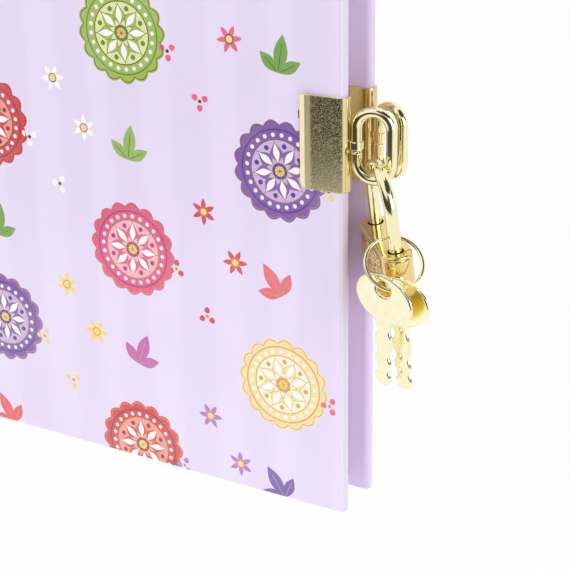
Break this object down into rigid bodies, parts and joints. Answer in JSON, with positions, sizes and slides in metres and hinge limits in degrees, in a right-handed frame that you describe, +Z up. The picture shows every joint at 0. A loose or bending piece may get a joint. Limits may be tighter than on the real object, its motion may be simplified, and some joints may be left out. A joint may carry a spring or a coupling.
{
  "type": "diary with lock",
  "caption": "Hardcover pocket diary with opening covers and turning pages, brass hasps with oval rings, a hanging padlock that unlatches, and keys on a ring.",
  "frame": {"origin": "middle of the case's tail, half way across its width and its thickness, on the surface it stands on", "axes": "+Z up from tail to head, +X from spine to fore-edge, +Y from front cover to back cover"},
  "size_m": [0.1493, 0.0279, 0.17],
  "materials": {
    "cover_paper": "satin laminated print",
    "board": "matt grey board",
    "end_paper": "matt tinted paper",
    "page_paper": "matt uncoated paper",
    "band_cloth": "woven cotton",
    "hasp_brass": "mottled sheet, lacquered",
    "wire_brass": "polished",
    "lock_brass": "polished, stippled in the recess",
    "key_brass": "bright stamped sheet",
    "spring_steel": "bright wire"
  },
  "bodies": {
    "page_block": {"sewn_backs": "page_paper", "spine_board": "board", "spine_wrap": "cover_paper", "spine_lining": "band_cloth", "headband": "band_cloth", "tailband": "band_cloth", "section_4": "page_paper", "section_5": "page_paper", "section_6": "page_paper", "back_flyleaf": "end_paper"},
    "front_cover": {"front_board": "board", "front_wrap": "cover_paper", "front_pastedown": "end_paper", "front_hasp": "hasp_brass"},
    "back_cover": {"back_board": "board", "back_wrap": "cover_paper", "back_pastedown": "end_paper", "back_hasp": "hasp_brass"},
    "front_flyleaf_leaf": {"front_flyleaf": "end_paper"},
    "section_1_leaf": {"section_1": "page_paper"},
    "section_2_leaf": {"section_2": "page_paper"},
    "section_3_leaf": {"section_3": "page_paper"},
    "front_ring_link": {"front_ring": "wire_brass"},
    "back_ring_link": {"back_ring": "wire_brass"},
    "shackle_bow": {"shackle": "wire_brass"},
    "padlock_body": {"lock_case": "lock_brass", "lock_plate": "lock_brass", "latch_spring": "spring_steel"},
    "key_plug": {"lock_plug": "lock_brass"},
    "latch_bolt": {"latch": "lock_brass"},
    "key_ring_loop": {"key_ring": "wire_brass"},
    "key_1_blank": {"key_1": "key_brass"},
    "key_2_blank": {"key_2": "key_brass"}
  },
  "joints": [
    {"name": "front_cover_swing", "type": "hinge", "parent": "page_block", "child": "front_cover", "pos_m": [-0.06025, -0.00713, 0], "axis": [0, 0, -1], "range_deg": [0, 175]},
    {"name": "back_cover_swing", "type": "hinge", "parent": "page_block", "child": "back_cover", "pos_m": [-0.06025, 0.00713, 0], "axis": [0, 0, 1], "range_deg": [0, 175]},
    {"name": "front_flyleaf_turn", "type": "hinge", "parent": "page_block", "child": "front_flyleaf_leaf", "pos_m": [-0.05275, -0.00428, 0], "axis": [0, 0, -1], "range_deg": [0, 150.6]},
    {"name": "section_1_turn", "type": "hinge", "parent": "page_block", "child": "section_1_leaf", "pos_m": [-0.05275, -0.00428, 0], "axis": [0, 0, -1], "range_deg": [0, 143.6]},
    {"name": "section_2_turn", "type": "hinge", "parent": "page_block", "child": "section_2_leaf", "pos_m": [-0.05275, -0.00428, 0], "axis": [0, 0, -1], "range_deg": [0, 138.4]},
    {"name": "section_3_turn", "type": "hinge", "parent": "page_block", "child": "section_3_leaf", "pos_m": [-0.05275, -0.00428, 0], "axis": [0, 0, -1], "range_deg": [0, 133.1]},
    {"name": "front_ring_swing", "type": "hinge", "parent": "front_cover", "child": "front_ring_link", "pos_m": [0.0641, -0.00492, 0.0847], "axis": [0, 0, 1], "range_deg": [-90, 3]},
    {"name": "back_ring_swing", "type": "hinge", "parent": "back_cover", "child": "back_ring_link", "pos_m": [0.0641, 0.00492, 0.0837], "axis": [0, 0, 1], "range_deg": [-8, 90]},
    {"name": "padlock_swing", "type": "hinge", "parent": "front_ring_link", "child": "shackle_bow", "pos_m": [0.0677, -0.00429, 0.0776], "axis": [0.9848, 0.1736, 0], "range_deg": [-12, 3]},
    {"name": "padlock_drop", "type": "slide", "parent": "shackle_bow", "child": "padlock_body", "axis": [0.0639, 0.1305, -0.9894], "range_m": [0, 0.007]},
    {"name": "plug_turn", "type": "hinge", "parent": "padlock_body", "child": "key_plug", "pos_m": [0.07041, -0.00426, 0.06595], "axis": [-0.0639, -0.1305, 0.9894], "range_deg": [0, 90.5]},
    {"name": "latch_slide", "type": "slide", "parent": "padlock_body", "child": "latch_bolt", "axis": [0.6811, -0.7304, -0.0523], "range_m": [0, 0.00128]},
    {"name": "key_ring_swing", "type": "hinge", "parent": "padlock_body", "child": "key_ring_loop", "pos_m": [0.07369, -0.00873, 0.06799], "axis": [-0.7771, -0.6293, 0], "range_deg": [0, 40]},
    {"name": "key_1_swing", "type": "hinge", "parent": "key_ring_loop", "child": "key_1_blank", "pos_m": [0.07635, -0.01634, 0.06014], "axis": [0.8914, 0.3022, -0.3377], "range_deg": [-6, 2]},
    {"name": "key_2_swing", "type": "hinge", "parent": "key_ring_loop", "child": "key_2_blank", "pos_m": [0.07876, -0.01499, 0.05965], "axis": [0.7771, 0.6293, 0], "range_deg": [-6, 6]}
  ],
  "couplings": [
    {"joint": "front_flyleaf_turn", "follows": "front_cover_swing", "ratio": 0.86},
    {"joint": "section_1_turn", "follows": "front_cover_swing", "ratio": 0.82},
    {"joint": "section_2_turn", "follows": "front_cover_swing", "ratio": 0.79},
    {"joint": "section_3_turn", "follows": "front_cover_swing", "ratio": 0.76},
    {"joint": "plug_turn", "follows": "padlock_drop", "rad_per_m": 224.4},
    {"joint": "latch_slide", "follows": "padlock_drop", "ratio": 0.18183}
  ]
}
